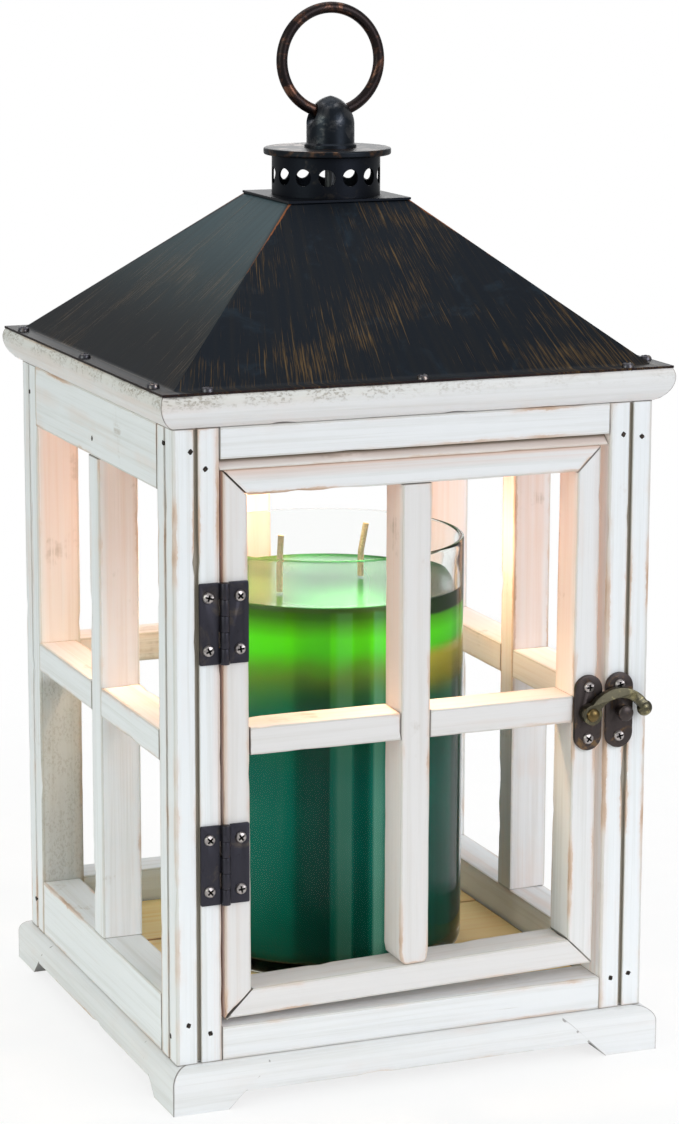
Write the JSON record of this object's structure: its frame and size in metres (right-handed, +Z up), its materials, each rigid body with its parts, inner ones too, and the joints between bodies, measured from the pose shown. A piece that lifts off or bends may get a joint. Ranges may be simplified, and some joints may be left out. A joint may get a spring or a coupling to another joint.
{
  "type": "candle warmer lamp",
  "caption": "Wooden lantern with a hipped metal roof, latched hinged door and open panes; a lamp under the roof warms the jar candle standing inside.",
  "frame": {"origin": "on the ground, under the middle of the lantern's body", "axes": "+Z up; the door looks along -Y; +X to the right as the door is looked at"},
  "size_m": [0.1886, 0.1861, 0.371],
  "materials": {
    "whitewashed_wood": "white-washed, rubbed to bare wood on the edges",
    "floor_wood": "thin white-wash over bare boards",
    "roof_metal": "dark navy-black with rubbed copper streaks",
    "bronze": "oil-rubbed bronze",
    "hinge_metal": "dark gunmetal",
    "old_brass": "antique brass, darkened",
    "rivet_brass": "polished",
    "screw_steel": "nickel plated",
    "bracket_steel": "zinc plated",
    "ceramic": "glazed ceramic",
    "bulb_glass": "lit reflector",
    "rubber": "matte",
    "jar_glass": "clear",
    "wax": "green wax, glowing at the top",
    "wick": "waxed cotton"
  },
  "bodies": {
    "lantern": {"plinth_front": "whitewashed_wood", "cornice_front": "whitewashed_wood", "front_top_rail": "whitewashed_wood", "front_bottom_rail": "whitewashed_wood", "plinth_right": "whitewashed_wood", "cornice_right": "whitewashed_wood", "right_top_rail": "whitewashed_wood", "right_bottom_rail": "whitewashed_wood", "plinth_back": "whitewashed_wood", "cornice_back": "whitewashed_wood", "back_top_rail": "whitewashed_wood", "back_bottom_rail": "whitewashed_wood", "plinth_left": "whitewashed_wood", "cornice_left": "whitewashed_wood", "left_top_rail": "whitewashed_wood", "left_bottom_rail": "whitewashed_wood", "right_muntin": "whitewashed_wood", "right_bars": "whitewashed_wood", "back_muntin": "whitewashed_wood", "back_bars": "whitewashed_wood", "left_muntin": "whitewashed_wood", "left_bars": "whitewashed_wood", "post_front_left": "whitewashed_wood", "post_front_right": "whitewashed_wood", "post_back_right": "whitewashed_wood", "post_back_left": "whitewashed_wood", "floor_boards": "floor_wood", "roof_shell": "roof_metal", "roof_screws": "screw_steel", "roof_top_plate": "roof_metal", "vent_drum": "roof_metal", "vent_cap": "roof_metal", "finial_dome": "roof_metal", "finial_stud": "screw_steel", "stud_nut": "screw_steel", "lamp_bracket": "bracket_steel", "lamp_holder": "ceramic", "holder_screws": "screw_steel", "reflector_bulb": "bulb_glass", "lead_grommet": "rubber", "hinge_frame_leaves": "hinge_metal", "hinge_pins": "hinge_metal", "frame_screws": "screw_steel", "keeper_plate": "old_brass", "keeper_peg": "old_brass"},
    "door": {"door_hinge_stile": "whitewashed_wood", "door_latch_stile": "whitewashed_wood", "door_bottom_rail": "whitewashed_wood", "door_top_rail": "whitewashed_wood", "door_muntin": "whitewashed_wood", "door_bars": "whitewashed_wood", "hinge_door_leaves": "hinge_metal", "door_screws": "screw_steel", "latch_plate": "old_brass", "latch_rivet": "rivet_brass"},
    "hook": {"latch_hook": "old_brass"},
    "ring": {"carry_ring": "bronze"},
    "candle": {"candle_jar": "jar_glass", "candle_wax": "wax", "candle_wicks": "wick"}
  },
  "joints": [
    {"name": "door_hinge", "type": "hinge", "parent": "lantern", "child": "door", "pos_m": [-0.07095, -0.08765, 0.12785], "axis": [0, 0, -1], "range_deg": [0, 160]},
    {"name": "latch_hook_swing", "type": "hinge", "parent": "door", "child": "hook", "pos_m": [0.06495, -0.0893, 0.1264], "axis": [0, -1, 0], "range_deg": [-15, 180]},
    {"name": "carry_ring_swing", "type": "hinge", "parent": "lantern", "child": "ring", "pos_m": [0.0017, 0, 0.332], "axis": [1, 0, 0], "range_deg": [-120, 120]},
    {"name": "candle_lift", "type": "slide", "parent": "lantern", "child": "candle", "axis": [0, 0, 1], "range_m": [0, 0.025]}
  ]
}
